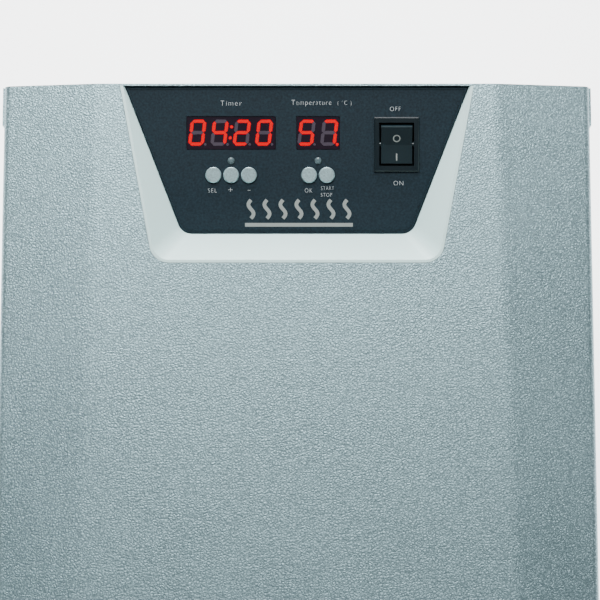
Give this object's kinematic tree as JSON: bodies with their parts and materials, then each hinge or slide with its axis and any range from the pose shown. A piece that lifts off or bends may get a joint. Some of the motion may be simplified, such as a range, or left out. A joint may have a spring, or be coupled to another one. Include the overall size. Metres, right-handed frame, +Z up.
{
  "type": "filament dryer box",
  "caption": "Countertop box dryer with a hinged window door, sliding wire shelves, a rear fan and heater, and a sloping control panel.",
  "frame": {"origin": "centre of the cabinet's footprint, on the plane that the feet stand on", "axes": "+X to the right seen from the front, +Y towards the rear panel, +Z up; the door faces -Y when shut and stands open at rest"},
  "size_m": [0.3647, 0.7775, 0.315],
  "materials": {
    "silver_paint": "fine-grained silver powder coat",
    "surround_plastic": "smooth pale satin plastic",
    "panel_black": "blue-black satin print film",
    "display_red": "smoked red lens",
    "lamp_lens": "clear grey lens",
    "button_silver": "silver painted plastic",
    "switch_black": "black moulded plastic",
    "board_green": "circuit board",
    "nylon": "natural nylon",
    "screw_steel": "zinc plated",
    "galvanised": "galvanised sheet",
    "rubber_black": "black rubber",
    "seal_silicone": "grey silicone",
    "frame_black": "black moulded plastic",
    "liner_steel": "stainless sheet",
    "heater_steel": "heat-tinted sheath",
    "motor_steel": "motor castings",
    "fan_aluminium": "bare aluminium",
    "window_smoke": "smoked glass",
    "handle_satin": "satin anodised",
    "magnet_grey": "ferrite",
    "wire_chrome": "chromed wire"
  },
  "bodies": {
    "cabinet": {"hood": "silver_paint", "panel_surround": "surround_plastic", "control_panel": "panel_black", "timer_display": "display_red", "temperature_display": "display_red", "indicator_lamps": "lamp_lens", "tact_switches": "switch_black", "switch_housing": "switch_black", "control_board": "board_green", "board_posts": "nylon", "board_screws": "screw_steel", "rear_panel": "silver_paint", "rear_panel_screws": "screw_steel", "cord_gland": "rubber_black", "base_pan": "galvanised", "feet": "rubber_black", "base_screws": "screw_steel", "front_frame": "frame_black", "chamber_liner": "liner_steel", "fan_baffle": "liner_steel", "temperature_probe": "screw_steel", "heater_element": "heater_steel", "heater_clips": "galvanised", "thermal_cutout": "galvanised", "fan_motor": "motor_steel", "motor_bracket": "galvanised", "relay_board": "board_green", "relay_standoffs": "nylon", "catch_plates": "screw_steel", "hinge_brackets": "screw_steel", "hinge_screws": "screw_steel"},
    "door": {"door_frame": "frame_black", "door_window": "window_smoke", "door_seal": "seal_silicone", "door_handle": "handle_satin", "door_magnets": "magnet_grey", "hinge_pins": "screw_steel"},
    "fan": {"fan_impeller": "fan_aluminium", "motor_shaft": "screw_steel", "fan_nut": "screw_steel"},
    "rocker": {"power_rocker": "switch_black"},
    "select_key": {"select_button": "button_silver"},
    "plus_key": {"plus_button": "button_silver"},
    "minus_key": {"minus_button": "button_silver"},
    "ok_key": {"ok_button": "button_silver"},
    "start_key": {"start_button": "button_silver"},
    "lower_shelf": {"shelf_lower": "wire_chrome"},
    "middle_shelf": {"shelf_middle": "wire_chrome"},
    "upper_shelf": {"shelf_upper": "wire_chrome"}
  },
  "joints": [
    {"name": "door_hinge", "type": "hinge", "parent": "cabinet", "child": "door", "pos_m": [-0.1585, -0.215, 0.161], "axis": [0, 0, -1], "range_deg": [-90, 20]},
    {"name": "fan_spin", "type": "hinge", "parent": "cabinet", "child": "fan", "pos_m": [0, 0.146, 0.163], "axis": [0, 1, 0], "continuous": true},
    {"name": "power_switch", "type": "hinge", "parent": "cabinet", "child": "rocker", "pos_m": [0.0573, 0.1909, 0.30737], "axis": [-1, 0, 0], "range_deg": [0, 20]},
    {"name": "select_press", "type": "slide", "parent": "cabinet", "child": "select_key", "axis": [0, 0.1564, -0.9877], "range_m": [0, 0.0012], "stiffness_N_per_m": 600, "springref_m": -0.001},
    {"name": "plus_press", "type": "slide", "parent": "cabinet", "child": "plus_key", "axis": [0, 0.1564, -0.9877], "range_m": [0, 0.0012], "stiffness_N_per_m": 600, "springref_m": -0.001},
    {"name": "minus_press", "type": "slide", "parent": "cabinet", "child": "minus_key", "axis": [0, 0.1564, -0.9877], "range_m": [0, 0.0012], "stiffness_N_per_m": 600, "springref_m": -0.001},
    {"name": "ok_press", "type": "slide", "parent": "cabinet", "child": "ok_key", "axis": [0, 0.1564, -0.9877], "range_m": [0, 0.0012], "stiffness_N_per_m": 600, "springref_m": -0.001},
    {"name": "start_press", "type": "slide", "parent": "cabinet", "child": "start_key", "axis": [0, 0.1564, -0.9877], "range_m": [0, 0.0012], "stiffness_N_per_m": 600, "springref_m": -0.001},
    {"name": "lower_slide", "type": "slide", "parent": "cabinet", "child": "lower_shelf", "axis": [0, -1, 0], "range_m": [0, 0.25]},
    {"name": "middle_slide", "type": "slide", "parent": "cabinet", "child": "middle_shelf", "axis": [0, -1, 0], "range_m": [0, 0.25]},
    {"name": "upper_slide", "type": "slide", "parent": "cabinet", "child": "upper_shelf", "axis": [0, -1, 0], "range_m": [0, 0.25]}
  ]
}
